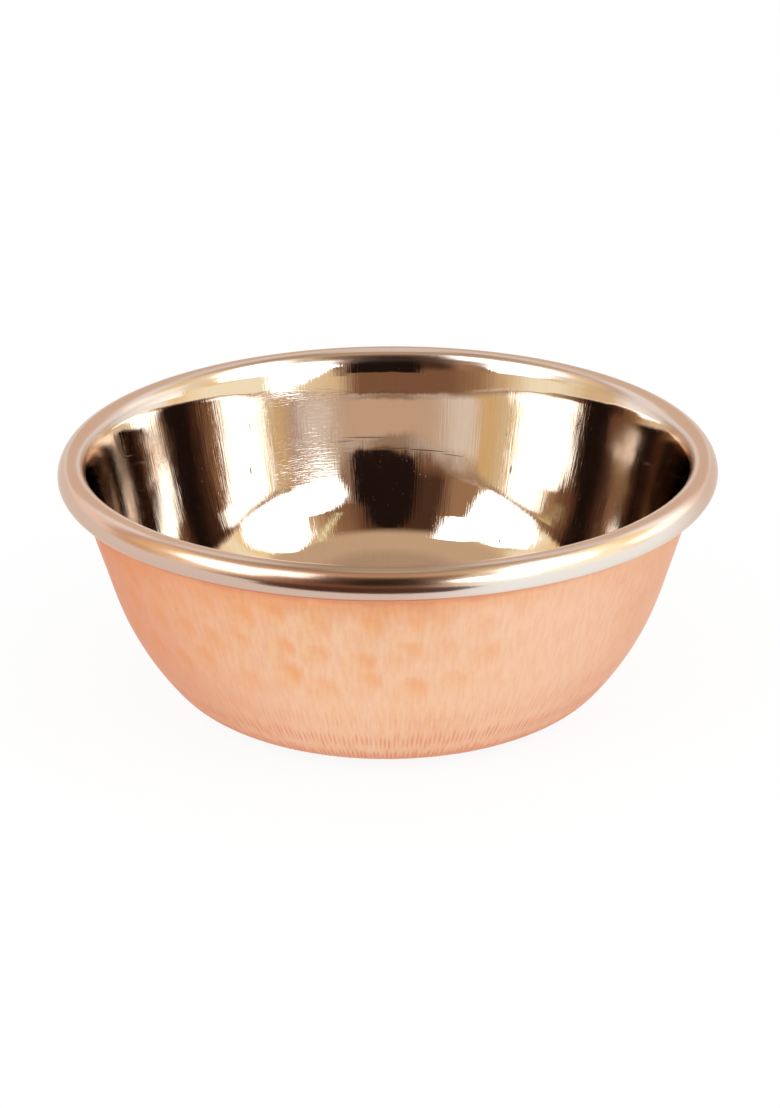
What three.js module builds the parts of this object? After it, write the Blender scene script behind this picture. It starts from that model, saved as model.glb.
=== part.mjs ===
// A two-skin serving bowl: a hammered copper shell outside and a polished steel liner inside.
// Millimetres, +Z up. The origin is the centre of the flat base, on the surface the bowl stands on.

import * as THREE from 'three';

// Overall sizes
const rimDiameter = 120;
const bowlHeight = 46;

// Where the outside of the base plane would meet the outside of the lower flank
const baseDiameter = 77;

// Where the lower flank would meet the upper flank
const bellyDiameter = 96.6;
const bellyHeight = 13;

// Outside radii that round those two corners
const baseCornerRadius = 11;
const bellyRadius = 52;

// Sheet thicknesses, and the space between the two skins where the liner sits in the shell
const copperSheet = 0.4;
const steelSheet = 0.4;
const skinGap = 0.3;

// The rolled rim: its round halves' outside diameter, the straight skirt between them, and the
// inside radius of the bend that turns the copper's edge outward in the middle of the roll
const rollDiameter = 4.6;
const rollSkirt = 0.8;
const copperEdgeBend = 0.4;

// Steps in which round stretches are cut
const turnSegments = 64;
const baseCornerSteps = 5;
const bellySteps = 5;
const rollSteps = 6;
const copperEdgeSteps = 4;

// Finishes, as seen in the photograph
const copperFinish = { color: 0xe8ad86, metalness: 1, roughness: 0.38 };
const steelFinish = { color: 0xd9cfc6, metalness: 1, roughness: 0.08 };

// Point at a distance from a centre, in the profile plane: x is the radius, y is the height
function polar(centre, radius, angle) {
  return new THREE.Vector2(centre.x + radius * Math.cos(angle), centre.y + radius * Math.sin(angle));
}

// Arc between two angles, both ends included
function arc(centre, radius, startAngle, endAngle, steps) {
  const points = [];
  for (let i = 0; i <= steps; i += 1) {
    points.push(polar(centre, radius, THREE.MathUtils.lerp(startAngle, endAngle, i / steps)));
  }
  return points;
}

// The roll's round halves, and the bend of the copper's edge, share these centres
const rollOutside = rollDiameter / 2;
const rollInside = rollOutside - steelSheet;
const rollTop = new THREE.Vector2(rimDiameter / 2 - rollOutside, bowlHeight - rollOutside);
const rollBottom = new THREE.Vector2(rollTop.x, rollTop.y - rollSkirt);
const copperEdgeOutside = copperEdgeBend + copperSheet;

// Arc that rounds a corner and touches both of its flanks, kept within the room on the first flank
function roundedCorner(corner, slopeBefore, slopeAfter, wantedRadius, room) {
  const halfTurn = (slopeAfter - slopeBefore) / 2;
  const tangent = Math.min(wantedRadius * Math.tan(halfTurn), room);
  const radius = tangent / Math.tan(halfTurn);
  const start = polar(corner, -tangent, slopeBefore);
  const centre = polar(start, radius, slopeBefore + Math.PI / 2);
  return { centre, radius, tangent, from: slopeBefore - Math.PI / 2, to: slopeAfter - Math.PI / 2 };
}

// The outside of the copper is a base plane, a lower flank and an upper flank, with a round
// corner at the base and a wide one at the belly. The upper flank runs from the belly corner to
// the bend of the copper's edge.
const baseCorner = new THREE.Vector2(baseDiameter / 2, 0);
const bellyCorner = new THREE.Vector2(bellyDiameter / 2, bellyHeight);
const lowerFlank = bellyCorner.clone().sub(baseCorner);
const lowerSlope = lowerFlank.angle();
const toRoll = rollTop.clone().sub(bellyCorner);
const copperSlope = toRoll.angle() + Math.asin(copperEdgeBend / toRoll.length());
const baseRound = roundedCorner(baseCorner, 0, lowerSlope, baseCornerRadius, lowerFlank.length() / 2);
const bellyRoom = lowerFlank.length() - baseRound.tangent;
const bellyRound = roundedCorner(bellyCorner, lowerSlope, copperSlope, bellyRadius, bellyRoom);

// Slope of a straight flank that leaves the belly's arc, at a depth under the copper's outside,
// and passes the roll's centre at a distance on the side of the axis
function flankSlope(depth, distance) {
  const toCentre = rollTop.clone().sub(bellyRound.centre);
  const across = bellyRound.radius - depth + distance;
  return toCentre.angle() + Math.PI / 2 - Math.acos(across / toCentre.length());
}

// Half section from the axis to the end of the belly, at a depth under the copper's outside, with
// the belly turned as far as the flank that follows it
function bowlProfile(depth, slope) {
  const bellyEnd = slope - Math.PI / 2;
  return [
    new THREE.Vector2(0, depth),
    ...arc(baseRound.centre, baseRound.radius - depth, baseRound.from, baseRound.to, baseCornerSteps),
    ...arc(bellyRound.centre, bellyRound.radius - depth, bellyRound.from, bellyEnd, bellySteps),
  ];
}

// Revolves a closed half section, which starts and ends on the axis, into a solid that stands on +Z
function revolve(name, profile, finish) {
  const geometry = new THREE.LatheGeometry(profile, turnSegments);
  geometry.rotateX(Math.PI / 2);
  const mesh = new THREE.Mesh(geometry, new THREE.MeshStandardMaterial(finish));
  mesh.name = name;
  return mesh;
}

// The copper shell's edge turns outward inside the roll as a level flange, which stops at the
// skins' gap from the roll's inside. The roll's lower lip passes under the flange and traps it.
function copperShell() {
  const bendStart = copperSlope + Math.PI / 2;
  const bendEnd = Math.PI / 2;
  const flangeReach = Math.sqrt((rollInside - skinGap) ** 2 - copperEdgeOutside ** 2);
  const flangeEnd = rollTop.x + flangeReach;
  const profile = [
    ...bowlProfile(0, copperSlope),
    ...arc(rollTop, copperEdgeBend, bendStart, bendEnd, copperEdgeSteps),
    new THREE.Vector2(flangeEnd, rollTop.y + copperEdgeBend),
    new THREE.Vector2(flangeEnd, rollTop.y + copperEdgeOutside),
    ...arc(rollTop, copperEdgeOutside, bendEnd, bendStart, copperEdgeSteps),
    ...bowlProfile(copperSheet, copperSlope).reverse(),
  ];
  return revolve('copper_shell', profile, copperFinish);
}

// The liner sits in the shell up to the belly. Above it the liner stands steeper than the copper,
// rolls over the copper's edge, drops by the skirt and curls in under the flange, up to the skins'
// gap from the copper's outside.
function steelLiner() {
  const outside = copperSheet + skinGap;
  const inside = outside + steelSheet;
  const slope = flankSlope(outside, rollInside);
  const rollStart = slope + Math.PI / 2;
  const reachToCopper = copperEdgeBend + rollSkirt * Math.cos(copperSlope);
  const curl = Math.asin((reachToCopper - skinGap) / rollOutside);
  const curlEnd = copperSlope - Math.PI - curl;
  const profile = [
    ...bowlProfile(outside, slope),
    ...arc(rollTop, rollInside, rollStart, 0, rollSteps),
    ...arc(rollBottom, rollInside, 0, curlEnd, rollSteps),
    ...arc(rollBottom, rollOutside, curlEnd, 0, rollSteps),
    ...arc(rollTop, rollOutside, 0, rollStart, rollSteps),
    ...bowlProfile(inside, slope).reverse(),
  ];
  return revolve('steel_liner', profile, steelFinish);
}

const bowl = new THREE.Group();
bowl.add(copperShell());
bowl.add(steelLiner());

export default bowl;
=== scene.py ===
"""Dresses a double-skin serving bowl: a hammered copper shell outside and a polished steel liner inside.

The bowl stands on the ground with its axis on Z, and it is looked at from the -Y side. Lengths are in
metres. An outline is a list of points (radius, height) that is turned about Z.
"""

import math
import random

import bpy
import numpy as np
from bpy.props import FloatProperty, FloatVectorProperty, IntProperty, PointerProperty
from mathutils import Matrix, Vector


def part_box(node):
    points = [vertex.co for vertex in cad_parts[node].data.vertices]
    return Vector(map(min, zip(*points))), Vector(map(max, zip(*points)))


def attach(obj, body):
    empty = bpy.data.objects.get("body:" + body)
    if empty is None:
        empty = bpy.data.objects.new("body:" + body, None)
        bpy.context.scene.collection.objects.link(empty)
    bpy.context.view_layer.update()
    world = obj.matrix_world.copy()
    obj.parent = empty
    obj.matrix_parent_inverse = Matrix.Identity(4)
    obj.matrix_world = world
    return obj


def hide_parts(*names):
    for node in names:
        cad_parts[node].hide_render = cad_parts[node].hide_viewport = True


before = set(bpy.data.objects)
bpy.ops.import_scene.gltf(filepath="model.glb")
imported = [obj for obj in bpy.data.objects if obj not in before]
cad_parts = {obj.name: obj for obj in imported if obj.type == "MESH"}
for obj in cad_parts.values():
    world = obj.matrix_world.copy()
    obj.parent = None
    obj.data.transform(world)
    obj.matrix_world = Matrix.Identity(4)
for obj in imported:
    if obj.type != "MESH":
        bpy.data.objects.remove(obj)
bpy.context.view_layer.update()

bl_info = {
    "name": "Serving Bowl",
    "version": (1, 0, 0),
    "blender": (4, 5, 0),
    "location": "View3D > Sidebar > Bowl",
    "description": "Makes a double-skin serving bowl of hammered copper and polished steel",
    "category": "Add Mesh",
}

MM = 0.001
FULL_TURN = 2 * math.pi

# Columns of faces round each piece
COPPER_SEGMENTS = 1400
LINER_SEGMENTS = 720

# Radius at which the walls are laid out flat for their fine patterns
MIDDLE_RADIUS = 52 * MM

# The bowl's own overall sizes
_, liner_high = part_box("steel_liner")
RIM_RADIUS = liner_high.x
BOWL_HEIGHT = liner_high.z


def length(name, description, default):
    """A size that the user can change, in metres."""
    return FloatProperty(name=name, description=description, default=default, unit="LENGTH", precision=4)


def share(name, description, default):
    """A plain number from 0 to 1."""
    return FloatProperty(name=name, description=description, default=default, min=0, max=1)


def colour(name, description, default):
    """A colour that the user can change, in linear light."""
    return FloatVectorProperty(name=name, description=description, default=default, subtype="COLOR", size=3)


class BowlForm(bpy.types.PropertyGroup):
    """Sizes of the two skins and of the rolled rim that joins them."""

    rim_radius: length("Rim radius", "Outside radius of the rolled rim", RIM_RADIUS)
    height: length("Height", "From the ground to the top of the rim", BOWL_HEIGHT)
    base_radius: length("Base radius", "Where the base plane would meet the lower flank", 38.5 * MM)
    belly_radius: length("Belly radius", "Where the lower flank would meet the upper flank", 48.3 * MM)
    belly_height: length("Belly height", "Height of that meeting point", 13 * MM)
    base_bend: length("Base bend", "Radius that rounds the corner at the base", 11 * MM)
    belly_bend: length("Belly bend", "Radius that rounds the belly", 52 * MM)
    sheet: length("Sheet", "Thickness of each skin", 0.4 * MM)
    skin_gap: length("Skin gap", "Space between the skins below the belly", 0.3 * MM)
    roll_radius: length("Roll radius", "Outside radius of the rolled rim's round halves", 2.3 * MM)
    roll_skirt: length("Roll skirt", "Straight drop between the roll's two halves", 0.8 * MM)
    edge_bend: length("Edge bend", "Inside radius of the copper's turned edge", 0.4 * MM)


class HammerWork(bpy.types.PropertyGroup):
    """Marks that the planishing hammer and the fine chisel left on the copper."""

    blow_pitch: length("Blow pitch", "Distance between neighbouring hammer blows", 7.0 * MM)
    blow_radius: length("Blow radius", "Radius of the flat that one blow leaves", 3.3 * MM)
    blow_depth: length("Blow depth", "Depth of one blow", 0.2 * MM)
    stroke_count: IntProperty(name="Strokes", description="Fine strokes in one turn", default=350, min=12)
    stroke_length: length("Stroke length", "Length of one fine stroke", 7.5 * MM)
    stroke_width: length("Stroke width", "Width of one fine stroke", 0.66 * MM)
    stroke_depth: length("Stroke depth", "Depth of a stroke in the lowest row", 0.12 * MM)


class BowlFinish(bpy.types.PropertyGroup):
    """Colours and gloss of the two metals. Some of the colours are painted shade, light or reflections."""

    copper: colour("Copper", "Clean satin copper", (0.93, 0.585, 0.37))
    copper_gold: colour("Golden copper", "Copper warmed to gold in patches", (0.92, 0.55, 0.265))
    # Pink copper is partly random tone and pale streaks, and partly painted light on the ridges and the
    # right side
    copper_pink: colour("Pink copper", "Copper where it was rubbed brighter", (0.95, 0.63, 0.46))
    # Red copper is partly random tarnish and grain, and partly painted shade in the strokes, under the rim,
    # on the left side and towards the foot
    copper_red: colour("Red copper", "Copper tarnished towards red", (0.80, 0.315, 0.185))
    # Amber copper is painted shade: under the rim, inside the blows and in a crescent beside each blow
    copper_shade_amber: colour("Amber copper", "Copper burnished at the lip of a blow", (0.90, 0.41, 0.18))
    # This colour is a painted shadow where the copper meets the ground
    copper_foot_shadow: colour("Dark copper", "Copper at the foot, where dirt stays", (0.36, 0.14, 0.07))
    copper_roughness: share("Copper roughness", "Roughness of the satin copper", 0.37)
    steel: colour("Steel", "Polished steel", (0.74, 0.67, 0.60))
    rim_top: colour("Rim top", "Steel on the top of the rim, worn bright", (0.63, 0.56, 0.51))
    # This colour is a painted brown reflection on the rim's front
    rim_front_reflection: colour("Rim front", "Steel on the rim's front, browned by use", (0.37, 0.28, 0.205))
    # This colour is a painted warm reflection of the copper on the rim's outer side
    rim_side: colour("Rim side", "Steel on the rim's side, warmed by the copper", (0.64, 0.465, 0.375))
    # This colour is a painted highlight on the rim's front right side
    rim_highlight: colour("Bright rim", "Steel where the rim's side was rubbed bright", (0.84, 0.78, 0.71))
    steel_roughness: share("Steel roughness", "Roughness of the mirror finish", 0.025)
    rim_roughness: share("Rim roughness", "Roughness of the handled rim", 0.19)


class BowlStudio(bpy.types.PropertyGroup):
    """Camera and light."""

    camera_distance: length("Camera distance", "From the camera to the middle of the rim's top", 480 * MM)
    camera_elevation: FloatProperty(
        name="Camera elevation", description="Angle above the horizon", default=0.353, subtype="ANGLE"
    )
    camera_roll: FloatProperty(
        name="Camera roll", description="Turn about the line of sight", default=-0.0068, subtype="ANGLE"
    )
    card_distance: length("Card distance", "From the bowl to the cards that it mirrors", 3.0)
    softbox_strength: FloatProperty(name="Softbox strength", description="Brightness", default=3.2, min=0)
    room_brightness: FloatProperty(name="Room brightness", description="Brightness", default=1.25, min=0)
    ambient: share("Ambient", "Brightness of the light from all round", 0.9)


# Photograph: its size, the place of the middle of the rim's top in it, and the camera's focal length
IMAGE_WIDTH = 780
IMAGE_HEIGHT = 1108
RIM_MIDDLE_X = 388.3
RIM_MIDDLE_Y = 444.7
FOCAL_PIXELS = 2630
SENSOR = 36


# Outlines

# Points nearer to each other than this are one point
SAME_POINT = 0.0001 * MM

# Points in which a bend of the copper and of the liner is laid out, before they are spaced evenly
COPPER_BEND_STEPS = 60
LINER_BEND_STEPS = 24

# Where the flat base and the liner's floor have their first ring of points, and how far the next ones are
# from each other, as times the distance between the wall's rings
FIRST_RING = 4
BASE_RINGS = 4
FLOOR_RINGS = 3


def polar(centre, radius, angle):
    """Point at a distance and an angle from a centre."""
    return np.array([centre[0] + radius * math.cos(angle), centre[1] + radius * math.sin(angle)])


def arc(centre, radius, start, end, steps):
    """Points of an arc, both ends included."""
    return [polar(centre, radius, a) for a in np.linspace(start, end, steps + 1)]


def straight(start, end, step):
    """Points from start to end, both included, about a step apart."""
    count = max(1, round(math.dist(start, end) / step))
    return [np.add(start, np.subtract(end, start) * i / count) for i in range(count + 1)]


def joined(*stretches):
    """One outline from several stretches, without the points that two of them share."""
    points = [p for stretch in stretches for p in stretch]
    kept = [points[0]]
    for p in points[1:]:
        if math.dist(p, kept[-1]) > SAME_POINT:
            kept.append(p)
    return np.array(kept)


def normals(outline):
    """Unit normals on the right-hand side of an outline as it is travelled."""
    along = np.gradient(outline, axis=0)
    across = np.stack([along[:, 1], -along[:, 0]], axis=1)
    return across / np.linalg.norm(across, axis=1)[:, None]


def beside(outline, distance):
    """The outline moved to its left by a distance."""
    return outline - normals(outline) * distance


def travelled(outline):
    """Makes the whole scene."""
    steps = np.linalg.norm(np.diff(outline, axis=0), axis=1)
    return np.concatenate([[0], np.cumsum(steps)])


def resampled(outline, step):
    """The outline with its points an even step apart."""
    at = travelled(outline)
    count = max(1, round(at[-1] / step))
    wanted = np.linspace(0, at[-1], count + 1)
    return np.stack([np.interp(wanted, at, outline[:, k]) for k in (0, 1)], axis=1)


class Corner:
    """An arc that rounds the corner between two flanks and touches both."""

    def __init__(self, corner, slope_before, slope_after, wanted_radius, room):
        half_turn = (slope_after - slope_before) / 2
        self.tangent = min(wanted_radius * math.tan(half_turn), room)
        self.radius = self.tangent / math.tan(half_turn)
        start = polar(corner, -self.tangent, slope_before)
        self.centre = polar(start, self.radius, slope_before + math.pi / 2)
        self.start = slope_before - math.pi / 2
        self.end = slope_after - math.pi / 2

    def points(self, steps):
        """Points of the arc, both ends included."""
        return arc(self.centre, self.radius, self.start, self.end, steps)


def slope(start, end):
    """Angle of the line between two points."""
    return math.atan2(end[1] - start[1], end[0] - start[0])


def roll_centres(form):
    """Centres of the upper and the lower half of the rolled rim."""
    upper = np.array([form.rim_radius - form.roll_radius, form.height - form.roll_radius])
    return upper, upper - (0, form.roll_skirt)


def copper_flank(form):
    """Slope of the copper's straight upper flank, which runs up to the bend of its edge."""
    belly = (form.belly_radius, form.belly_height)
    upper, _ = roll_centres(form)
    return slope(belly, upper) + math.asin(form.edge_bend / math.dist(belly, upper))


def copper_outside(form, step):
    """The copper's outside from the middle of the base up to the bend of its edge."""
    base = (form.base_radius, 0)
    belly = (form.belly_radius, form.belly_height)
    flank = slope(base, belly)
    length_of_flank = math.dist(base, belly)
    low = Corner(base, 0, flank, form.base_bend, length_of_flank / 2)
    high = Corner(belly, flank, copper_flank(form), form.belly_bend, length_of_flank - low.tangent)
    upper, _ = roll_centres(form)
    edge_start = polar(upper, form.edge_bend, copper_flank(form) + math.pi / 2)
    rounds = joined(low.points(COPPER_BEND_STEPS), high.points(COPPER_BEND_STEPS))
    wall = resampled(joined(rounds, [edge_start]), step)
    return joined([(0, 0)], straight((FIRST_RING * step, 0), rounds[0], BASE_RINGS * step), wall)


def copper_edge(form, steps):
    """The copper's turned edge inside the roll, from the end of its outside to the start of its inside. It
    stops short of the dressed roll, which is narrower there than the solid's."""
    upper, _ = roll_centres(form)
    start = copper_flank(form) + math.pi / 2
    end = math.pi / 2
    outer_bend = form.edge_bend + form.sheet
    room = form.roll_radius - 2 * form.sheet - form.skin_gap
    tip = upper[0] + math.sqrt(room**2 - outer_bend**2)
    return joined(
        arc(upper, form.edge_bend, start, end, steps),
        [(tip, upper[1] + form.edge_bend), (tip, upper[1] + outer_bend)],
        arc(upper, outer_bend, end, start, steps),
    )


# The rolled rim, from its shoulder inside the bowl, over the top and round to its lip: the radius of each
# bend in mm and the direction in which the surface faces at its end, in degrees from the level outward.
RIM_START = 160.7
RIM_BENDS = ((4.0, 145), (2.2, 90), (2.1, 45), (4.0, 9), (2.6, -67), (1.9, -120))

# The liner's inner wall, from the rim down to the floor: heights in mm and the wall's lean from the
# vertical in degrees. Between two of them the wall bends evenly.
WALL_BENDS = (
    (40.5, 12.2),
    (34.0, 11.2),
    (27.0, 14.9),
    (20.5, 18.2),
    (14.0, 26.1),
    (8.5, 42.0),
    (4.0, 52.0),
    (1.1, 90.0),
)


def bend(start, lean_before, lean_after, drop, steps):
    """Points down a wall whose lean from the vertical changes evenly over a drop in height."""
    radius = drop / (math.sin(lean_after) - math.sin(lean_before))
    points = []
    for lean in np.linspace(lean_before, lean_after, steps + 1):
        inward = radius * (math.cos(lean_before) - math.cos(lean))
        down = radius * (math.sin(lean) - math.sin(lean_before))
        points.append((start[0] - inward, start[1] - down))
    return points


def liner_rim(form, step):
    """The rolled rim's visible side, from the shoulder round to the lip, as wide and as high as the bowl.
    Its points are about a step apart, in degrees of turn."""
    points = [np.zeros(2)]
    facing = math.radians(RIM_START)
    for radius, end in RIM_BENDS:
        end = math.radians(end)
        steps = math.ceil(abs(end - facing) / math.radians(step))
        centre = points[-1] - polar((0, 0), radius * MM, facing)
        points += arc(centre, radius * MM, facing, end, steps)
        facing = end
    points = joined(points)
    return points + (form.rim_radius, form.height) - points.max(axis=0)


def liner_wall(form, top, step):
    """The liner's inner wall from the middle of the floor up to the rim's shoulder."""
    lean = math.radians(180 - RIM_START)
    wall = [top]
    for height, next_lean in WALL_BENDS:
        next_lean = math.radians(next_lean)
        wall += bend(wall[-1], lean, next_lean, wall[-1][1] - height * MM, LINER_BEND_STEPS)
        lean = next_lean
    curve = resampled(joined(wall), step)[::-1]
    floor = straight((FIRST_RING * step, curve[0][1]), curve[0], FLOOR_RINGS * step)
    return joined([(0, curve[0][1])], floor, curve)


# Meshes


def turned(name, outline, segments, columns=None):
    """A closed mesh from an outline that starts and ends on the axis. columns, where it is given, holds
    each ring's own points (radius, height) all the way round."""
    rings = len(outline) - 2
    if columns is None:
        columns = np.repeat(outline[1:-1, None, :], segments, axis=1)
    angles = np.arange(segments) * FULL_TURN / segments
    points = np.empty((rings, segments, 3))
    points[..., 0] = columns[..., 0] * np.cos(angles)
    points[..., 1] = columns[..., 0] * np.sin(angles)
    points[..., 2] = columns[..., 1]
    poles = [(0, 0, outline[0, 1]), (0, 0, outline[-1, 1])]
    vertices = np.concatenate([points.reshape(-1, 3), poles])
    first_pole, last_pole = rings * segments, rings * segments + 1
    here = np.arange(segments)
    after = (here + 1) % segments
    quads = []
    for ring in range(rings - 1):
        low, high = ring * segments, (ring + 1) * segments
        quads.append(np.stack([low + here, low + after, high + after, high + here], axis=1))
    last = (rings - 1) * segments
    faces = np.concatenate(quads).tolist()
    faces += np.stack([np.full(segments, first_pole), after, here], axis=1).tolist()
    faces += np.stack([np.full(segments, last_pole), last + here, last + after], axis=1).tolist()
    mesh = bpy.data.meshes.new(name)
    mesh.from_pydata(vertices.tolist(), [], faces)
    mesh.polygons.foreach_set("use_smooth", np.ones(len(mesh.polygons), bool))
    mesh.update()
    piece = bpy.data.objects.new(name, mesh)
    bpy.context.scene.collection.objects.link(piece)
    return piece


def keep_values(piece, name, grid):
    """Stores a grid of numbers, one for each vertex of the first rings, as a named value of the mesh."""
    attribute = piece.data.attributes.new(name, "FLOAT", "POINT")
    values = np.zeros(len(piece.data.vertices), np.float32)
    values[: grid.size] = grid.ravel()
    attribute.data.foreach_set("value", values)


# How softly the edge of a struck mark runs out
MARK_EDGE = 1.5


class Sheet:
    """The copper's outside laid out flat: rings by columns, on which marks are struck."""

    def __init__(self, outline, segments):
        self.along = travelled(outline)
        self.radius = np.maximum(outline[:, 0], SAME_POINT)
        self.segments = segments
        self.marks = np.zeros((len(outline), segments))

    def strike(self, along, angle, half_length, half_width, depth):
        """Presses one oval mark into the sheet. Where two marks cross, the deeper one shows."""
        rows = np.flatnonzero(np.abs(self.along - along) < half_length)
        if not len(rows):
            return
        step = FULL_TURN / self.segments
        reach = int(half_width / (self.radius[rows].min() * step)) + 1
        middle = round(angle / step)
        columns = np.arange(middle - reach, middle + reach + 1)
        up = (self.along[rows] - along)[:, None] / half_length
        around = (columns * step - angle)[None, :] * self.radius[rows][:, None] / half_width
        mark = depth * np.clip(1 - up**2 - around**2, 0, 1) ** MARK_EDGE
        where = np.ix_(rows, columns % self.segments)
        self.marks[where] = np.maximum(self.marks[where], mark)


# Direction from +X, in degrees, of the side with the deepest blows, how fast they grow shallower away from
# it, and how shallow they get
DEEP_BLOWS = 232
BLOW_FALL = 1.6
SHALLOWEST_BLOW = 0.15

# Shares of the blows' pitch: the distance between rows, and how far a blow strays round and up
BLOW_ROW = 0.86
BLOW_ASTRAY_ROUND = 0.24
BLOW_ASTRAY_UP = 0.26

# How much the blows differ: least and most length as a share of the usual, width as a share of the length
# and depth as a share of the usual
BLOW_LENGTHS = (0.85, 1.15)
BLOW_WIDTHS = (0.92, 1.1)
BLOW_DEPTHS = (0.4, 1)

# Share of a blow's radius by which the crescent of painted shade beside it lies up and to the right, and
# how wide and how sharp the crescent is
BLOW_SHADE_ASIDE = 0.30
BLOW_SHADE_WIDTH = 1.1
BLOW_SHADE_SHARPNESS = 2.4


def blow_strength(angle):
    """How strong the blows are on a side of the bowl, up to 1 on the side where the smith began."""
    return max(SHALLOWEST_BLOW, 1 - BLOW_FALL * (1 - math.cos(angle - math.radians(DEEP_BLOWS))))


def hammer_blows(sheet, lips, work, start, end):
    """Round planishing blows in staggered rows between two places up the wall, from 0 to 1 deep. Beside
    each one, on its upper right, goes a crescent from 0 to 1 where the copper is painted with shade."""
    chance = random.Random(11)
    row_pitch = work.blow_pitch * BLOW_ROW
    rows = max(1, round((end - start) / row_pitch))
    for row in range(rows + 1):
        along = start + (end - start) * row / rows
        radius = np.interp(along, sheet.along, sheet.radius)
        count = round(FULL_TURN * radius / work.blow_pitch)
        for i in range(count):
            astray = chance.uniform(-BLOW_ASTRAY_ROUND, BLOW_ASTRAY_ROUND)
            angle = (i + row % 2 / 2 + astray) * FULL_TURN / count
            half_length = work.blow_radius * chance.uniform(*BLOW_LENGTHS)
            shift = chance.uniform(-BLOW_ASTRAY_UP, BLOW_ASTRAY_UP) * work.blow_pitch
            half_width = half_length * chance.uniform(*BLOW_WIDTHS)
            depth = chance.uniform(*BLOW_DEPTHS) * blow_strength(angle)
            sheet.strike(along + shift, angle, half_length, half_width, depth)
            aside = half_length * BLOW_SHADE_ASIDE
            lips.strike(along + shift + aside, angle + aside / radius, half_length, half_width, depth)
    lips.marks = np.clip((lips.marks * BLOW_SHADE_WIDTH - sheet.marks) * BLOW_SHADE_SHARPNESS, 0, 1)


# Rows of fine strokes, the distance between them as a share of a stroke's length, how they fade from row to
# row, and how far a stroke strays as a share of the strokes' spacing and length
STROKE_ROWS = 4
STROKE_ROW = 0.8
STROKE_FADE = 0.8
STROKE_ASTRAY = 0.12

# How much the strokes differ: least and most length and depth, as a share of the usual
STROKE_LENGTHS = (0.8, 1.1)
STROKE_DEPTHS = (0.6, 1)


def fine_strokes(sheet, work, start):
    """Rows of fine upright strokes that fade up the wall, from 0 to 1 deep."""
    chance = random.Random(29)
    for row in range(STROKE_ROWS):
        fade = (1 - row / STROKE_ROWS) ** STROKE_FADE
        turn = chance.random()
        for i in range(work.stroke_count):
            off_round = chance.uniform(-STROKE_ASTRAY, STROKE_ASTRAY)
            off_up = chance.uniform(-STROKE_ASTRAY, STROKE_ASTRAY)
            angle = (i + turn + off_round) * FULL_TURN / work.stroke_count
            along = start + (row * STROKE_ROW + off_up) * work.stroke_length
            half_length = work.stroke_length / 2 * chance.uniform(*STROKE_LENGTHS)
            depth = fade * chance.uniform(*STROKE_DEPTHS)
            sheet.strike(along, angle, half_length, work.stroke_width / 2, depth)


# Materials

# Tints of the two metals where the surface turns away
COPPER_EDGE = (0.82, 0.64, 0.57)
STEEL_EDGE = (0.90, 0.80, 0.73)

# Colour inside a deep scratch in the steel
SCRATCH = (0.08, 0.05, 0.04)


class Wire:
    """The output of a node. Arithmetic on it adds Math nodes, and its other outputs are reached by name."""

    def __init__(self, finish, socket):
        self.finish = finish
        self.socket = socket

    def __getitem__(self, name):
        return Wire(self.finish, self.socket.node.outputs[name])

    def __add__(self, other):
        return self.finish.math("ADD", self, other)

    def __radd__(self, other):
        return self.finish.math("ADD", other, self)

    def __sub__(self, other):
        return self.finish.math("SUBTRACT", self, other)

    def __rsub__(self, other):
        return self.finish.math("SUBTRACT", other, self)

    def __mul__(self, other):
        return self.finish.math("MULTIPLY", self, other)


def as_colour(value):
    """A colour with its alpha, or the wire that it already is."""
    return value if isinstance(value, Wire) else (*value, 1)


def darker(tone, amount):
    """A colour brought down to a part of its light."""
    return [channel * amount for channel in tone]


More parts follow.
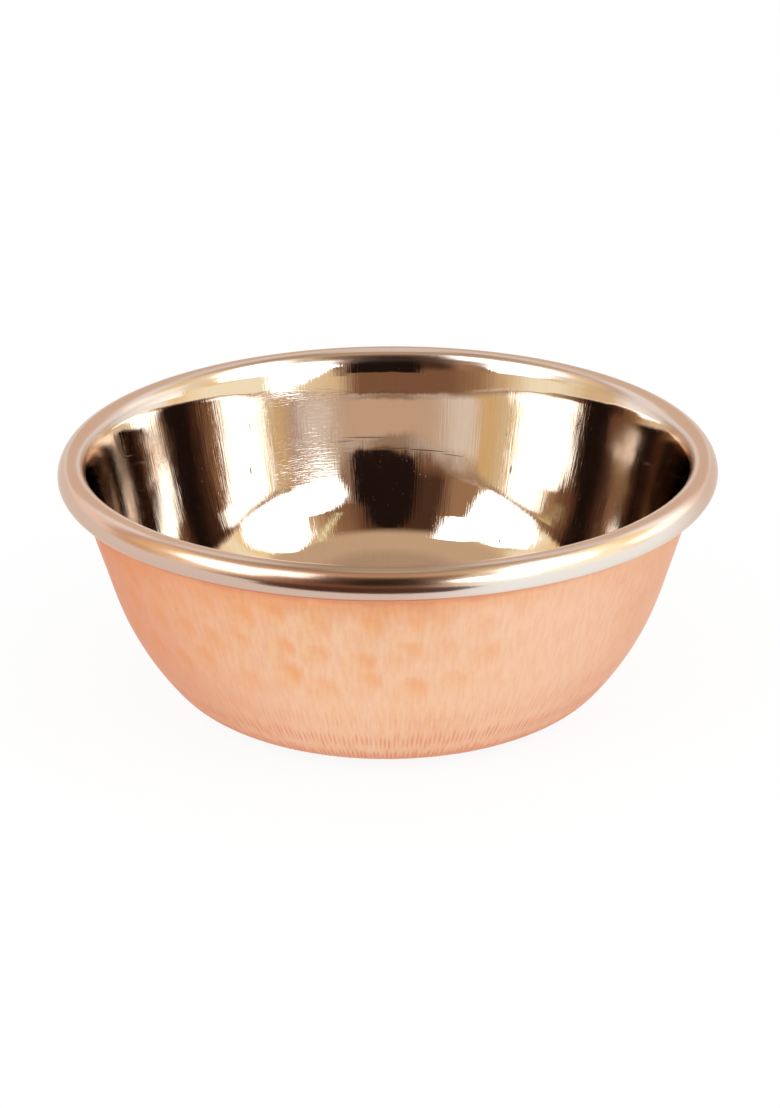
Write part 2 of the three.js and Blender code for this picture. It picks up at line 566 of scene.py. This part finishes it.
class Finish:
    """The nodes of a material or of the world, put together one at a time."""

    def __init__(self, owner):
        self.owner = owner
        owner.use_nodes = True
        self.tree = owner.node_tree
        self.tree.nodes.clear()

    def node(self, kind, settings=None, sockets=None):
        """Adds a node of a type, with its settings first and then the values or links of its sockets."""
        made = self.tree.nodes.new("ShaderNode" + kind)
        for name, value in (settings or {}).items():
            if name == "stops":
                self.set_stops(made.color_ramp, value)
            else:
                setattr(made, name, value)
        for name, value in (sockets or {}).items():
            if isinstance(value, Wire):
                self.tree.links.new(value.socket, made.inputs[name])
            else:
                made.inputs[name].default_value = value
        return Wire(self, made.outputs[0]) if made.outputs else None

    @staticmethod
    def set_stops(ramp, stops):
        """Gives a colour ramp its stops, each a place from 0 to 1 and a colour."""
        while len(ramp.elements) < len(stops):
            ramp.elements.new(1)
        for element, (place, value) in zip(ramp.elements, stops):
            element.position = place
            element.color = (*value, 1)

    def math(self, operation, *values):
        """One Math node."""
        return self.node("Math", {"operation": operation}, dict(enumerate(values)))

    def place(self):
        """The surface point in the bowl's own frame, in metres."""
        return self.node("TexCoord")["Object"]

    def parts(self, vector):
        """The three parts of a vector, by name."""
        return self.node("SeparateXYZ", {}, {0: vector})

    def around(self, parts):
        """Direction round the bowl's axis, in radians from +X."""
        return self.math("ARCTAN2", parts["Y"], parts["X"])

    def radius(self, parts):
        """Distance from the bowl's axis."""
        level = self.node("CombineXYZ", {}, {0: parts["X"], 1: parts["Y"], 2: 0.0})
        return self.node("VectorMath", {"operation": "LENGTH"}, {0: level})["Value"]

    def unrolled(self, parts):
        """The wall laid out flat: the way round at a middle radius, then the height."""
        return self.node("CombineXYZ", {}, {0: self.around(parts) * MIDDLE_RADIUS, 1: parts["Z"], 2: 0.0})

    def noise(self, place, size, detail=2.0, stretch=(1, 1, 1), seed=0.0, tilt=0.0):
        """Smooth random value about 0.5, in spots of a size that are stretched and turned by a tilt."""
        shift = {"Location": (seed, seed, seed), "Rotation": (0, 0, tilt), "Scale": stretch}
        moved = self.node("Mapping", {}, {"Vector": place, **shift})
        grain = {"Scale": 1 / size, "Detail": detail, "Roughness": 0.55}
        return self.node("TexNoise", {}, {"Vector": moved, **grain})

    def between(self, value, low, high):
        """0 up to low, 1 from high, and a smooth rise between them."""
        sockets = {"Value": value, "From Min": low, "From Max": high}
        return self.node("MapRange", {"interpolation_type": "SMOOTHSTEP"}, sockets)

    def colour_mix(self, amount, below, above):
        """Two colours mixed by an amount from 0 to 1."""
        sockets = {0: amount, 6: as_colour(below), 7: as_colour(above)}
        made = self.node("Mix", {"data_type": "RGBA"}, sockets)
        return Wire(self, made.socket.node.outputs[2])

    def coats(self, base, *coats):
        """A base colour with coats over it, each an amount from 0 to 1 and a colour."""
        for amount, tone in coats:
            base = self.colour_mix(amount, base, tone)
        return base

    def struck(self, name):
        """How deep a kind of mark is at a vertex of the mesh, from 0 to 1."""
        return self.node("Attribute", {"attribute_name": name})["Fac"]

    def seen(self):
        """1 for rays from the camera and rays that a mirror or glass sends on, and 0 for light."""
        path = self.node("LightPath")
        straight_or_mirrored = self.math("MAXIMUM", path["Is Camera Ray"], path["Is Glossy Ray"])
        return self.math("MAXIMUM", straight_or_mirrored, path["Is Transmission Ray"])

    def metal(self, base, roughness, normal, edge, brushed=0.0):
        """Ends the material as a metal with an edge tint, brushed from 0 to 1 round the bowl's axis."""
        sockets = {
            "Base Color": base,
            "Metallic": 1.0,
            "Roughness": roughness,
            "Normal": normal,
            "Specular Tint": as_colour(edge),
            "Anisotropic": brushed,
            "Anisotropic Rotation": 0.25,
        }
        shader = self.node("BsdfPrincipled", {}, sockets)
        self.node("OutputMaterial", {}, {"Surface": shader})
        return self.owner


def copper_material(form, tones):
    """Satin copper with fine upright lines and random tones, with painted light on the ridges between the
    blows and on the right side, and painted shade in and beside the blows, in the strokes, under the rim,
    on the left side and towards the foot.
    """
    f = Finish(bpy.data.materials.new("hammered_copper"))
    place = f.place()
    parts = f.parts(place)
    height = parts["Z"]
    unrolled = f.unrolled(parts)
    blows, lips, strokes = f.struck("blows"), f.struck("lips"), f.struck("strokes")

    # Grains of several sizes, and upright lines and streaks
    broad = f.noise(place, 24 * MM, seed=3.0)
    patches = f.noise(place, 5 * MM, detail=3, seed=7.0)
    specks = f.noise(place, 1.5 * MM, detail=3, seed=1.0)
    lines = f.noise(unrolled, 0.75 * MM, detail=2, stretch=(1, 0.18, 1))
    streaks = f.noise(unrolled, 3.2 * MM, detail=2, stretch=(1, 0.10, 1), seed=2.0)

    # Where each tone lies, some of them painted shade or painted light
    # painted shade makes the left side darker and redder, and painted light makes the right side paler
    across = parts["X"] + (broad - 0.5) * 30 * MM
    left = f.between(across, -8 * MM, -54 * MM)
    right = f.between(across, 0, 40 * MM)
    gold = f.between(patches + (broad - 0.5) * 1.2, 0.35, 0.75)
    # random paler patches, and painted light on the ridges between the blows
    ridges = f.between(patches * 0.5 + specks * 0.5 - blows * 0.45, 0.38, 0.62)
    tarnish = f.between(specks * 0.7 + (broad - 0.5) * 0.8, 0.34, 0.60)
    pale = f.between(streaks + (specks - 0.5) * 0.4, 0.50, 0.72)
    fine = f.between(lines, 0.40, 0.62)
    # painted shade in the grooves of the fine strokes
    stroke_groove_shade = f.between(strokes, 0.06, 0.50)
    below_top = height - form.height
    # painted shade under the overhanging rim
    under_rim_shade = f.between(below_top + (broad - 0.5) * 10 * MM, -12.5 * MM, -6.5 * MM)
    # painted shade in the crease just below the rim
    rim_crease_shade = f.between(below_top + (patches - 0.5) * 2 * MM, -8.0 * MM, -6.9 * MM)
    # painted shade: redder and darker towards the foot
    foot = f.between(height + (specks - 0.5) * 2 * MM, 6.5 * MM, 0.8 * MM)
    under = f.between(f.radius(parts), form.base_radius - 5.0 * MM, form.base_radius - 3.5 * MM)
    # painted shadow in a thin line where the copper meets the ground
    foot_shadow_line = f.between(height, 1.5 * MM, 0.7 * MM) * under
    # how strongly the painted shade under the rim and in its crease shows, weaker on the right
    rim_shade_strength = 0.8 - right * 0.6

    shade = f.coats(
        tones.copper,
        (gold * 0.5, tones.copper_gold),
        # random pale patches and painted light on the ridges
        (ridges * 0.55, tones.copper_pink),
        (pale * 0.3, tones.copper_pink),
        # painted light on the right side
        (right * 0.6, tones.copper_pink),
        # painted shade under the rim
        (under_rim_shade * rim_shade_strength, tones.copper_shade_amber),
        # random red tarnish, and painted shade on the left side
        (tarnish * 0.2 + left * 0.6, tones.copper_red),
        # painted shade inside the blows' hollows
        (blows * 0.30, tones.copper_shade_amber),
        # painted shade: a crescent on the upper right of each blow
        (lips * 0.7, tones.copper_shade_amber),
        (fine * 0.15, tones.copper_red),
        # painted shade in the strokes' grooves
        (stroke_groove_shade * 0.75, tones.copper_red),
        # painted shade towards the foot
        (foot * 0.4, tones.copper_red),
        # painted shade in the crease below the rim
        (rim_crease_shade * rim_shade_strength, tones.copper_red),
        # painted shadow at the foot
        (foot_shadow_line * 0.7, tones.copper_foot_shadow),
    )
    roughness = tones.copper_roughness + (patches - 0.5) * 0.2 + (lines - 0.5) * 0.2 - blows * 0.05
    grain = f.noise(place, 0.4 * MM, detail=3) + lines * 1.2
    bump = f.node("Bump", {}, {"Strength": 0.6, "Distance": 0.03 * MM, "Height": grain})
    return f.metal(shade, roughness, bump, COPPER_EDGE)


# Marks of use on the liner's wall: direction round the bowl in degrees from +X, height in mm, half the
# width and half the height in mm, tilt as the rise in mm over one mm round, and how strongly each shows.
LINER_SCRATCHES = (
    (100.3, 28.1, 2.6, 0.10, -0.02, 0.8),
    (95.0, 28.7, 4.2, 0.10, 0.03, 0.9),
    (88.5, 26.4, 3.0, 0.10, -0.05, 0.8),
    (81.0, 26.2, 4.0, 0.11, 0.02, 0.9),
    (75.0, 25.6, 2.4, 0.09, 0.04, 0.7),
    (103.5, 25.2, 2.0, 0.08, -0.10, 0.6),
    (122.9, 25.0, 0.18, 0.80, 0.3, 1.0),
    (121.5, 33.5, 0.13, 0.8, 0.1, 0.8),
    (60.6, 24.3, 0.24, 0.9, -0.2, 1.0),
    (62.6, 31.0, 0.12, 0.7, 0.2, 0.7),
    (60.0, 10.9, 0.25, 0.35, 0.4, 0.9),
    (57.5, 13.2, 0.10, 0.6, 0.5, 0.7),
)

# The dull patch that scouring left on the back wall: its direction and half its width in degrees, and the
# heights in mm where it starts and ends
SCOURED = (110, 13, 18, 41)


def scratches(f, around, height):
    """Where the listed marks lie, from 0 to 1."""
    seen = 0.0
    for turn, up, half_width, half_height, tilt, strength in LINER_SCRATCHES:
        across = (around - math.radians(turn)) * (MIDDLE_RADIUS / MM)
        rise = height * (1 / MM) - up - across * tilt
        far = f.math("POWER", across * (1 / half_width), 2) + f.math("POWER", rise * (1 / half_height), 2)
        seen = f.math("MAXIMUM", f.between(far, 1.6, 0.2) * strength, seen)
    return seen


def scoured_patch(f, around, height):
    """Where the wall was scoured dull, from 0 to 1."""
    middle, half_width, low, high = SCOURED
    off = f.math("ABSOLUTE", around - math.radians(middle))
    inside = f.between(off, math.radians(half_width), math.radians(half_width * 0.5))
    above = f.between(height, low * MM, (low + 6) * MM)
    below = f.between(height, high * MM, (high - 4) * MM)
    return inside * above * below


# Where the rim has a painted brown reflection and where it has a painted highlight, in degrees: the
# direction of the middle, and half the widths up to which it is full and up to which it fades out
RIM_BROWN_REFLECTION = (-92, 6, 24)
RIM_HIGHLIGHT = (-55, 14, 36)


def near_side(f, around, side):
    """How near a point is to one side of the bowl, from 0 to 1."""
    middle, full, none = (math.radians(angle) for angle in side)
    return f.between(f.math("ABSOLUTE", around - middle), none, full)


def steel_material(form, tones):
    """Mirror steel with fine upright hairlines and spinning lines, softer on the rolled rim, whose colour
    holds painted reflections and a painted highlight.
    """
    f = Finish(bpy.data.materials.new("polished_steel"))
    place = f.place()
    parts = f.parts(place)
    height = parts["Z"]
    unrolled = f.unrolled(parts)
    around, radius = f.around(parts), f.radius(parts)

    # Where the rim and the floor are
    high = f.between(height, form.height - 3.2 * MM, form.height - 1.9 * MM)
    wide = f.between(radius, form.rim_radius - 4.2 * MM, form.rim_radius - 3.6 * MM)
    on_rim = f.math("MAXIMUM", high, wide)
    on_floor = f.between(height, 3.2 * MM, 1.6 * MM)

    # Lines and waves of the polish, and marks of use
    upright = f.noise(unrolled, 0.35 * MM, detail=3, stretch=(1, 0.04, 1))
    ripple = f.noise(unrolled, 1.8 * MM, detail=2, stretch=(1, 0.14, 1), seed=4.0)
    waves = f.noise(unrolled, 11 * MM, detail=2, stretch=(1, 0.5, 1), seed=6.0)
    spun = f.noise(f.node("CombineXYZ", {}, {0: radius, 1: height, 2: around * 0.002}), 0.6 * MM, detail=3)
    hairlines = upright * (1 - on_floor) + spun * on_floor
    swirls = f.noise(unrolled, 0.28 * MM, detail=2, stretch=(0.10, 1, 1), seed=8.0, tilt=0.5)
    haze = f.noise(unrolled, 16 * MM, detail=2, seed=5.0)
    pits = f.between(f.noise(place, 0.35 * MM, detail=2, seed=9.0), 0.70, 0.78)
    marks = scratches(f, around, height)
    scoured = scoured_patch(f, around, height)
    dull = scoured * f.between(swirls + (hairlines - 0.5) * 0.4, 0.30, 0.65)

    roughness = tones.steel_roughness + f.between(hairlines, 0.5, 0.8) * 0.025
    roughness = roughness + f.between(haze, 0.5, 0.75) * 0.02 + marks * 0.3 + dull * 0.07
    roughness = roughness + pits * (1 - on_rim) * 0.25
    roughness = roughness + on_rim * (tones.rim_roughness - tones.steel_roughness)

    # Colour, with the rim's by place, which holds painted reflections and a painted highlight
    worn = f.between(haze + (hairlines - 0.5) * 0.8, 0.45, 0.8)
    outer = f.between(radius, form.rim_radius - 1.8 * MM, form.rim_radius - 0.8 * MM)
    # painted brown reflection on the front of the rim
    browned = near_side(f, around, RIM_BROWN_REFLECTION)
    # painted highlight on the rim's front right side
    bright = near_side(f, around, RIM_HIGHLIGHT)
    rim_above = f.colour_mix(browned, tones.rim_top, tones.rim_front_reflection)
    # outer side: painted warm reflection of the copper, with the painted highlight
    rim_beside = f.colour_mix(bright, tones.rim_side, tones.rim_highlight)
    rim_tone = f.colour_mix(outer, rim_above, rim_beside)
    base = f.coats(
        tones.steel,
        (worn * 0.3, darker(tones.steel, 0.84)),
        (dull * 0.35, darker(tones.steel, 0.72)),
        (on_rim, rim_tone),
        (marks * 0.9, SCRATCH),
    )

    waviness = (ripple * 0.9 + waves * 8) * (1 - on_floor)
    relief = (hairlines + waviness) * (1 - on_rim * 0.85) + spun * on_rim * 0.6 + swirls * scoured
    bump = f.node("Bump", {}, {"Strength": 1.0, "Distance": 0.010 * MM, "Height": relief})
    return f.metal(base, roughness, bump, STEEL_EDGE, brushed=0.3)


def glow(name, shade, strength):
    """Plain even light of one colour."""
    f = Finish(bpy.data.materials.new(name))
    light = f.node("Emission", {}, {"Color": as_colour(shade), "Strength": strength})
    f.node("OutputMaterial", {}, {"Surface": light})
    return f.owner


# Pieces

# Distance between rings of faces on the side of each piece that is seen, and on the side that is hidden
COPPER_STEP = 1.1 * MM
COPPER_HIDDEN_STEP = 9 * MM
LINER_STEP = 1.1 * MM
LINER_HIDDEN_STEP = 4 * MM

# Turn from ring to ring round the rim, in degrees, on its visible and its hidden side
RIM_STEP = 6.5
RIM_HIDDEN_STEP = 18

# Steps in the bend of the copper's turned edge
EDGE_STEPS = 2

# How far above the foot the first blows and the first strokes lie, and how far below the copper's top the
# last blows, along the wall
FIRST_BLOWS = 28 * MM
LAST_BLOWS = 4 * MM
FIRST_STROKES = 2 * MM


def make_copper(scene):
    """The hammered copper shell."""
    form, work = scene.bowl_form, scene.bowl_hammer
    outside = copper_outside(form, COPPER_STEP)
    edge = copper_edge(form, EDGE_STEPS)
    wall = outside[outside[:, 0] > form.base_radius / 2]
    inside = resampled(beside(wall, form.sheet), COPPER_HIDDEN_STEP)[::-1]
    outline = joined(outside, edge, inside, [(0, form.sheet)])
    skin = outside[1:]
    along = travelled(skin)
    foot = np.interp(form.base_radius - form.base_bend / 2, skin[:, 0], along)
    blows, lips, strokes = (Sheet(skin, COPPER_SEGMENTS) for _ in range(3))
    hammer_blows(blows, lips, work, foot + FIRST_BLOWS, along[-1] - LAST_BLOWS)
    fine_strokes(strokes, work, foot + FIRST_STROKES)
    depth = blows.marks * work.blow_depth + strokes.marks * work.stroke_depth
    columns = np.repeat(outline[1:-1, None, :], COPPER_SEGMENTS, axis=1)
    columns[: len(skin)] -= normals(skin)[:, None, :] * depth[..., None]
    piece = turned("hammered_copper_shell", outline, COPPER_SEGMENTS, columns)
    for name, sheet in (("blows", blows), ("lips", lips), ("strokes", strokes)):
        keep_values(piece, name, sheet.marks)
    piece.data.materials.append(copper_material(form, scene.bowl_finish))
    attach(piece, "root")
    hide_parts("copper_shell")


def make_liner(scene):
    """The polished steel liner with its rolled rim."""
    form = scene.bowl_form
    rim = liner_rim(form, RIM_STEP)
    visible = joined(liner_wall(form, rim[0], LINER_STEP), rim)
    plain = joined(liner_wall(form, rim[0], LINER_HIDDEN_STEP), liner_rim(form, RIM_HIDDEN_STEP))
    hidden = beside(plain[plain[:, 0] > form.base_radius / 2], -form.sheet)
    outline = joined([(0, visible[0][1] - form.sheet)], hidden, visible[::-1])
    piece = turned("polished_steel_liner", outline, LINER_SEGMENTS)
    piece.data.materials.append(steel_material(form, scene.bowl_finish))
    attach(piece, "root")
    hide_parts("steel_liner")


# Stage


def direction(azimuth, elevation):
    """Unit vector at an azimuth from the camera's side, to the right, and an elevation, in degrees."""
    a, e = math.radians(azimuth), math.radians(elevation)
    return Vector((math.sin(a) * math.cos(e), -math.cos(a) * math.cos(e), math.sin(e)))


def stage_object(name, vertices, faces, material):
    """A mesh that belongs to the studio."""
    mesh = bpy.data.meshes.new(name)
    mesh.from_pydata([tuple(v) for v in vertices], [], faces)
    mesh.materials.append(material)
    made = bpy.data.objects.new(name, mesh)
    bpy.context.scene.collection.objects.link(made)
    return made


def only_mirrored(made):
    """Seen in the metal but not by the camera."""
    made.visible_camera = False
    made.visible_diffuse = False
    made.visible_transmission = False
    made.visible_shadow = False


def card(name, corners, distance, material):
    """A flat card that fills a shape in the sky, given by its corners' azimuth and elevation in degrees."""
    rays = [direction(*corner) for corner in corners]
    facing = sum(rays, Vector()).normalized()
    points = [ray * (distance / ray.dot(facing)) for ray in rays]
    made = stage_object(name, points, [range(len(points))], material)
    only_mirrored(made)
    return made


def make_camera(scene):
    """The camera, aimed so that the middle of the rim's top falls where the photograph has it."""
    studio, form = scene.bowl_studio, scene.bowl_form
    data = bpy.data.cameras.new("camera")
    data.sensor_width = SENSOR
    data.lens = FOCAL_PIXELS / IMAGE_HEIGHT * SENSOR
    camera = bpy.data.objects.new("camera", data)
    scene.collection.objects.link(camera)
    target = Vector((0, 0, form.height))
    back = direction(0, math.degrees(studio.camera_elevation))
    look = (-back).to_track_quat("-Z", "Y").to_matrix().to_4x4()
    drop = math.atan((RIM_MIDDLE_Y - IMAGE_HEIGHT / 2) / FOCAL_PIXELS)
    turn = math.atan((RIM_MIDDLE_X - IMAGE_WIDTH / 2) / FOCAL_PIXELS)
    roll = Matrix.Rotation(studio.camera_roll, 4, "Z")
    aim = Matrix.Rotation(drop, 4, "X") @ Matrix.Rotation(turn, 4, "Y") @ roll
    camera.matrix_world = Matrix.Translation(target + back * studio.camera_distance) @ look @ aim
    scene.camera = camera


# The floor's paint, and how much of the floor is plain white where it is seen
WHITE = (1.0, 1.0, 1.0)
FLOOR_PAINT = (0.95, 0.95, 0.95)
FLOOR_WHITE = 0.9


def floor_material():
    """Pale floor that keeps the bowl's shadow and isn't there when it is seen from below."""
    f = Finish(bpy.data.materials.new("pale_floor"))
    paint = f.node("BsdfDiffuse", {}, {"Color": as_colour(FLOOR_PAINT)})
    light = f.node("Emission", {}, {"Color": as_colour(WHITE), "Strength": 1.0})
    top = f.node("MixShader", {}, {0: f.seen() * FLOOR_WHITE, 1: paint, 2: light})
    clear = f.node("BsdfTransparent")
    below = f.node("NewGeometry")["Backfacing"]
    f.node("OutputMaterial", {}, {"Surface": f.node("MixShader", {}, {0: below, 1: top, 2: clear})})
    return f.owner


def make_world(scene):
    """White all round, a little weaker as light."""
    f = Finish(bpy.data.worlds.new("white_studio"))
    ambient = scene.bowl_studio.ambient
    strength = f.seen() * (1 - ambient) + ambient
    white = f.node("Background", {}, {"Color": as_colour(WHITE), "Strength": strength})
    f.node("OutputWorld", {}, {"Surface": white})
    scene.world = f.owner


# Tones of the studio that the steel mirrors
DUSK = (0.07, 0.03, 0.017)
BROWN = (0.20, 0.095, 0.05)
RUST = (0.33, 0.18, 0.095)
GOLD = (0.70, 0.50, 0.29)
SUN = (0.88, 0.63, 0.32)
CLAY = (0.62, 0.46, 0.40)
CREAM = (0.94, 0.83, 0.62)
MILK = (0.98, 0.90, 0.86)
TAN = (0.76, 0.56, 0.43)
AMBER = (0.57, 0.39, 0.25)
UMBER = (0.44, 0.30, 0.20)
CEILING = (0.84, 0.74, 0.68)

# The studio's wall below 14 degrees and above it, as azimuths in degrees from the camera's side
LOW_WALL = (
    (-180, MILK), (-108, MILK), (-99, GOLD), (-86, GOLD), (-72, CREAM), (-60, CREAM), (-50, GOLD),
    (-38, RUST), (-25, BROWN), (12, BROWN), (20, GOLD), (50, CREAM), (76, CREAM), (92, SUN), (100, MILK),
    (180, MILK),
)
HIGH_WALL = (
    (-180, TAN), (-142, TAN), (-130, MILK), (-114, MILK), (-106, CLAY), (-99, CLAY), (-95, SUN), (-88, SUN),
    (-80, CREAM), (-72, GOLD), (-46, GOLD), (-41, RUST), (-30, RUST), (-24, DUSK), (9, DUSK), (18, BROWN),
    (30, RUST), (42, GOLD), (76, SUN), (84, CREAM), (92, SUN), (104, SUN), (111, MILK), (124, MILK),
    (142, TAN), (180, TAN),
)


# Where each tone of the room gives way to the next one up, as sines of the elevation, and where the ceiling
# starts behind the bowl: how far behind, and how far up
WALL_CHANGE = (0.20, 0.28)
AMBER_START = (0.69, 0.79)
UMBER_START = (0.88, 0.94)
CEILING_START = (0.970, 0.988)
BEHIND = (0.1, 0.3)
CEILING_START_BEHIND = (0.72, 0.80)


def wall_tones(f, turn, wall):
    """A wall's colour at a direction in radians from the camera's side."""
    stops = [(azimuth / 360 + 0.5, tone) for azimuth, tone in wall]
    return f.node("ValToRGB", {"stops": stops}, {"Fac": turn * (1 / FULL_TURN) + 0.5})


def room_material(brightness):
    """The studio's wall and ceiling."""
    f = Finish(bpy.data.materials.new("warm_room"))
    parts = f.parts(f.node("VectorMath", {"operation": "NORMALIZE"}, {0: f.place()}))
    turn = f.math("ARCTAN2", parts["X"], parts["Y"] * -1)
    rise = parts["Z"]
    overhead = f.between(rise, *CEILING_START)
    behind = f.between(parts["Y"], *BEHIND) * f.between(rise, *CEILING_START_BEHIND)
    shade = f.coats(
        wall_tones(f, turn, LOW_WALL),
        (f.between(rise, *WALL_CHANGE), wall_tones(f, turn, HIGH_WALL)),
        (f.between(rise, *AMBER_START), AMBER),
        (f.between(rise, *UMBER_START), UMBER),
        (f.math("MAXIMUM", overhead, behind), CEILING),
    )
    light = f.node("Emission", {}, {"Color": shade, "Strength": brightness})
    f.node("OutputMaterial", {}, {"Surface": light})
    return f.owner


# Elevation in degrees at which the room starts, in front and behind, and the rows and columns of its faces
ROOM_START_FRONT = -1
ROOM_START_BEHIND = 11
ROOM_ROWS = 18
ROOM_COLUMNS = 72


def make_room(distance, brightness):
    """A half dome over the bowl. It starts on the floor in front and some way up behind."""
    columns, rows = ROOM_COLUMNS, ROOM_ROWS
    vertices = []
    for j in range(rows):
        for i in range(columns):
            turn = 360 * i / columns
            behind = max(0, -math.cos(math.radians(turn)))
            lowest = ROOM_START_FRONT + (ROOM_START_BEHIND - ROOM_START_FRONT) * behind
            vertices.append(direction(turn, lowest + (90 - lowest) * j / rows) * distance)
    vertices.append(Vector((0, 0, distance)))
    faces = []
    for j in range(rows - 1):
        for i in range(columns):
            low, after = j * columns + i, j * columns + (i + 1) % columns
            faces.append((low, after, after + columns, low + columns))
    last = (rows - 1) * columns
    faces += [(last + i, last + (i + 1) % columns, rows * columns) for i in range(columns)]
    only_mirrored(stage_object("room", vertices, faces, room_material(brightness)))


# What the steel mirrors, besides the room: shapes in the sky by azimuth and elevation in degrees
SOFTBOX_LEFT = (
    (-29.3, 52.2), (-29.3, 31.2), (-39.5, 29.4), (-42, 20), (-46, 13), (-78, 14), (-79, 37),
    (-72, 42), (-66, 45.5), (-60, 46.5), (-55, 45), (-52, 47.5), (-45, 50.6), (-36, 52.3),
)
SOFTBOX_RIGHT = (
    (21.5, 0), (21, 12), (17.5, 15), (18.5, 21), (23, 25.5), (29, 27.5), (42, 28), (43, 34), (43.5, 41),
    (47, 46), (53, 50), (62, 52), (72, 51), (80, 47), (85, 36), (86, 20), (60, 15), (48.5, 13), (48.5, 0),
)
PALE_STRIP = ((23.5, 29), (25.2, 29), (35, 40.5), (45, 50.5), (43.5, 51.5), (33, 42))
DARK_OPENING = (
    (-13, 11), (-14, 15), (-13, 26), (-12, 34), (-10, 41), (-6, 45), (4, 45), (9, 40), (11, 28), (15, 25),
    (15.5, 11),
)
BROWN_EDGE = ((15.5, 9), (15.2, 26), (19.5, 26), (20.5, 9))
BRIGHT_SIDE = ((88, 7), (88, 22), (104, 24), (122, 24), (122, 9))

# A dark table beyond the pale floor, as its points (x, y) in mm on the ground
DARK_TABLE = (
    (-900, -420), (-200, -250), (-80, -112), (30, -106), (70, -150), (260, -700), (700, -2850),
    (-2850, -2850),
)

# The cards besides the softboxes: name, shape, place as a share of the cards' distance, colour and strength
CARDS = (
    ("bright_side", BRIGHT_SIDE, 0.90, (1.0, 0.97, 0.88), 1.6),
    ("brown_edge", BROWN_EDGE, 0.83, (0.33, 0.20, 0.135), 1.0),
    ("pale_strip", PALE_STRIP, 0.85, (1.0, 0.94, 0.55), 1.3),
    ("dark_opening", DARK_OPENING, 0.80, (0.018, 0.009, 0.007), 1.0),
)
SOFTBOX_PLACE = 0.90
TABLE_TONE = (0.10, 0.045, 0.03)

# Heights of the floor and of the dark table, and the floor's reach in cards' distances
FLOOR_LEVEL = -0.05 * MM
TABLE_LEVEL = 0.2 * MM
FLOOR_REACH = 3


def make_studio(scene):
    """Floor, world, softboxes, and the room, cards and table that only the metal mirrors."""
    studio = scene.bowl_studio
    far = studio.card_distance
    half = far * FLOOR_REACH
    corners = [(-half, -half), (half, -half), (half, half), (-half, half)]
    stage_object("floor", [(x, y, FLOOR_LEVEL) for x, y in corners], [(0, 1, 2, 3)], floor_material())
    make_world(scene)
    make_room(far, studio.room_brightness)
    softbox = glow("softbox", WHITE, studio.softbox_strength)
    for name, outline in (("softbox_left", SOFTBOX_LEFT), ("softbox_right", SOFTBOX_RIGHT)):
        lamp = card(name, outline, far * SOFTBOX_PLACE, softbox)
        lamp.visible_diffuse = True
    for name, outline, place, tone, strength in CARDS:
        card(name, outline, far * place, glow(name, tone, strength))
    table = [(x * MM, y * MM, TABLE_LEVEL) for x, y in DARK_TABLE]
    dark = glow("dark_table", TABLE_TONE, 1.0)
    only_mirrored(stage_object("dark_table", table, [range(len(table))], dark))


# Operators


class BOWL_OT_copper_shell(bpy.types.Operator):
    """Hammer the copper shell"""

    bl_idname = "bowl.copper_shell"
    bl_label = "Copper Shell"
    bl_options = {"REGISTER", "UNDO"}

    def execute(self, context):
        make_copper(context.scene)
        return {"FINISHED"}


class BOWL_OT_steel_liner(bpy.types.Operator):
    """Spin the steel liner and roll its rim"""

    bl_idname = "bowl.steel_liner"
    bl_label = "Steel Liner"
    bl_options = {"REGISTER", "UNDO"}

    def execute(self, context):
        make_liner(context.scene)
        return {"FINISHED"}


class BOWL_OT_studio(bpy.types.Operator):
    """Place the camera and set up the floor and the light"""

    bl_idname = "bowl.studio"
    bl_label = "Studio"
    bl_options = {"REGISTER", "UNDO"}

    def execute(self, context):
        context.scene.view_settings.view_transform = "Standard"
        make_camera(context.scene)
        make_studio(context.scene)
        return {"FINISHED"}


class BOWL_PT_sidebar(bpy.types.Panel):
    """Sizes, colours and the steps that make the bowl"""

    bl_idname = "BOWL_PT_sidebar"
    bl_label = "Serving Bowl"
    bl_space_type = "VIEW_3D"
    bl_region_type = "UI"
    bl_category = "Bowl"

    def draw(self, context):
        for name, group in GROUPS.items():
            box = self.layout.box()
            box.label(text=group.__doc__)
            values = getattr(context.scene, name)
            for field in group.__annotations__:
                box.prop(values, field)
        for step in STEPS:
            self.layout.operator(step.bl_idname)


GROUPS = {
    "bowl_form": BowlForm,
    "bowl_hammer": HammerWork,
    "bowl_finish": BowlFinish,
    "bowl_studio": BowlStudio,
}
STEPS = (BOWL_OT_studio, BOWL_OT_copper_shell, BOWL_OT_steel_liner)
CLASSES = (*GROUPS.values(), *STEPS, BOWL_PT_sidebar)


def register():
    for made in CLASSES:
        bpy.utils.register_class(made)
    for name, group in GROUPS.items():
        setattr(bpy.types.Scene, name, PointerProperty(type=group))


def unregister():
    for name in GROUPS:
        delattr(bpy.types.Scene, name)
    for made in reversed(CLASSES):
        bpy.utils.unregister_class(made)


def main():
    """Makes the whole scene and writes the CAD model's box and the dressed model's box."""
    register()
    bpy.ops.bowl.studio()
    bpy.ops.bowl.copper_shell()
    bpy.ops.bowl.steel_liner()


if __name__ == "__main__":
    main()
